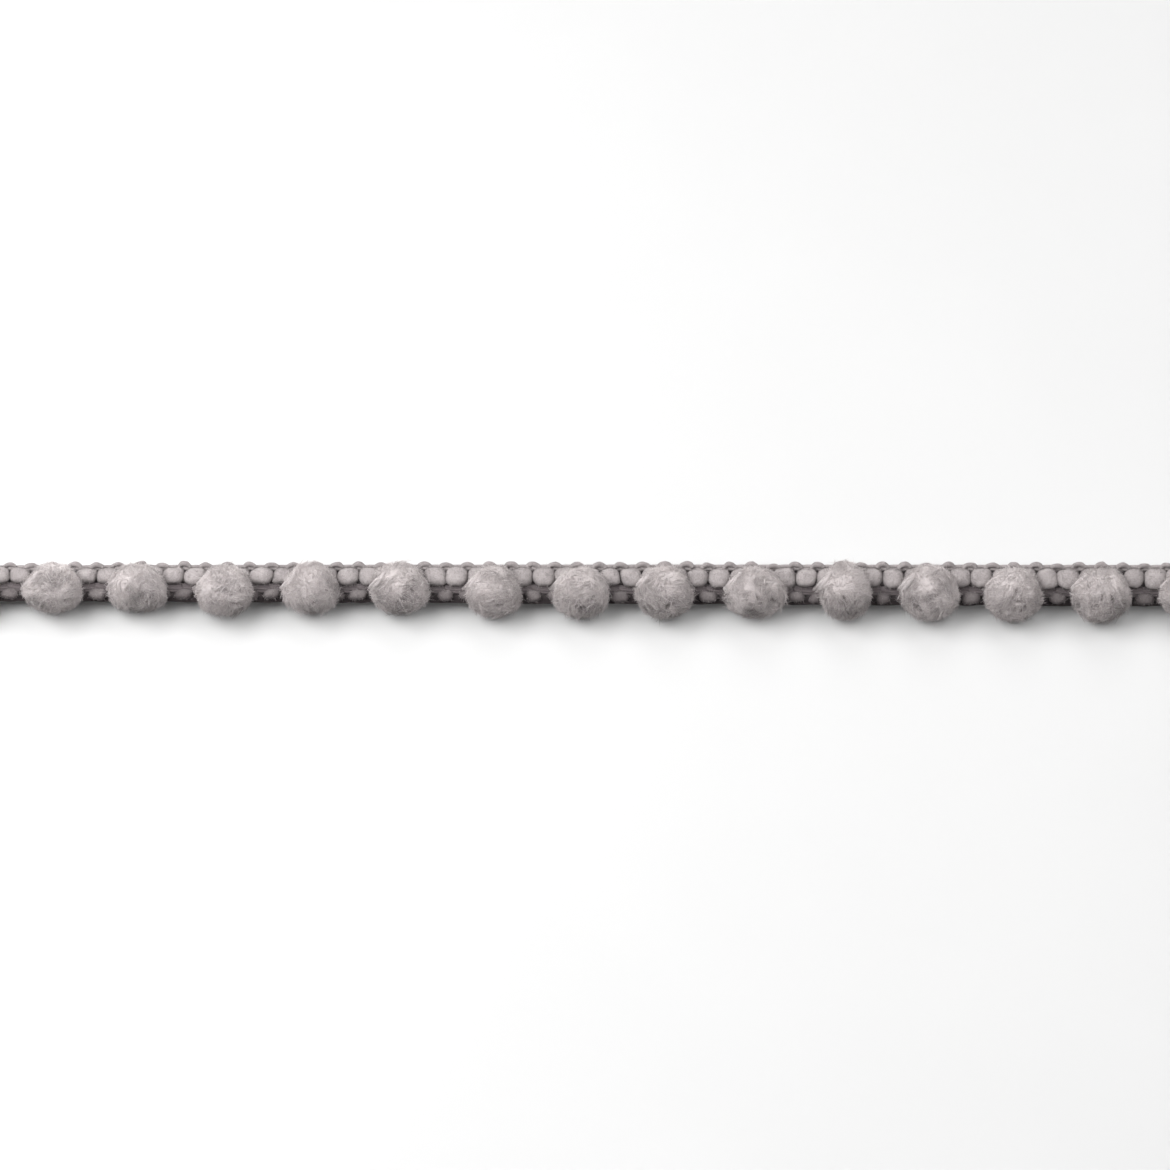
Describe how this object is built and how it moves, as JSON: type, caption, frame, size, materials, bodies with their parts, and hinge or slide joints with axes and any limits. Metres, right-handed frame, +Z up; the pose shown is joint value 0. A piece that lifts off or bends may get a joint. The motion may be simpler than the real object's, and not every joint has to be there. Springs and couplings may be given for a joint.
{
  "type": "pompom fringe trim",
  "caption": "Cut length of sewing trim: a narrow crocheted heading of thick soft yarn with round wool pompoms bound along it at even spacing.",
  "frame": {"origin": "middle of the trim's underside, on the surface that it rests on", "axes": "+X along the trim, +Y towards the heading's looped free edge, +Z up, out of the face that shows"},
  "size_m": [0.1906, 0.0108, 0.0076],
  "materials": {
    "heading_yarn": "thick soft matt yarn, warm mid grey, crocheted",
    "pompom_pile": "dense felted wool pile, warm light grey, matt with a soft nap"
  },
  "bodies": {
    "root": {"heading": "heading_yarn", "pompom_01": "pompom_pile", "pompom_02": "pompom_pile", "pompom_03": "pompom_pile", "pompom_04": "pompom_pile", "pompom_05": "pompom_pile", "pompom_06": "pompom_pile", "pompom_07": "pompom_pile", "pompom_08": "pompom_pile", "pompom_09": "pompom_pile", "pompom_10": "pompom_pile", "pompom_11": "pompom_pile", "pompom_12": "pompom_pile", "pompom_13": "pompom_pile", "pompom_14": "pompom_pile", "pompom_15": "pompom_pile"}
  },
  "joints": []
}
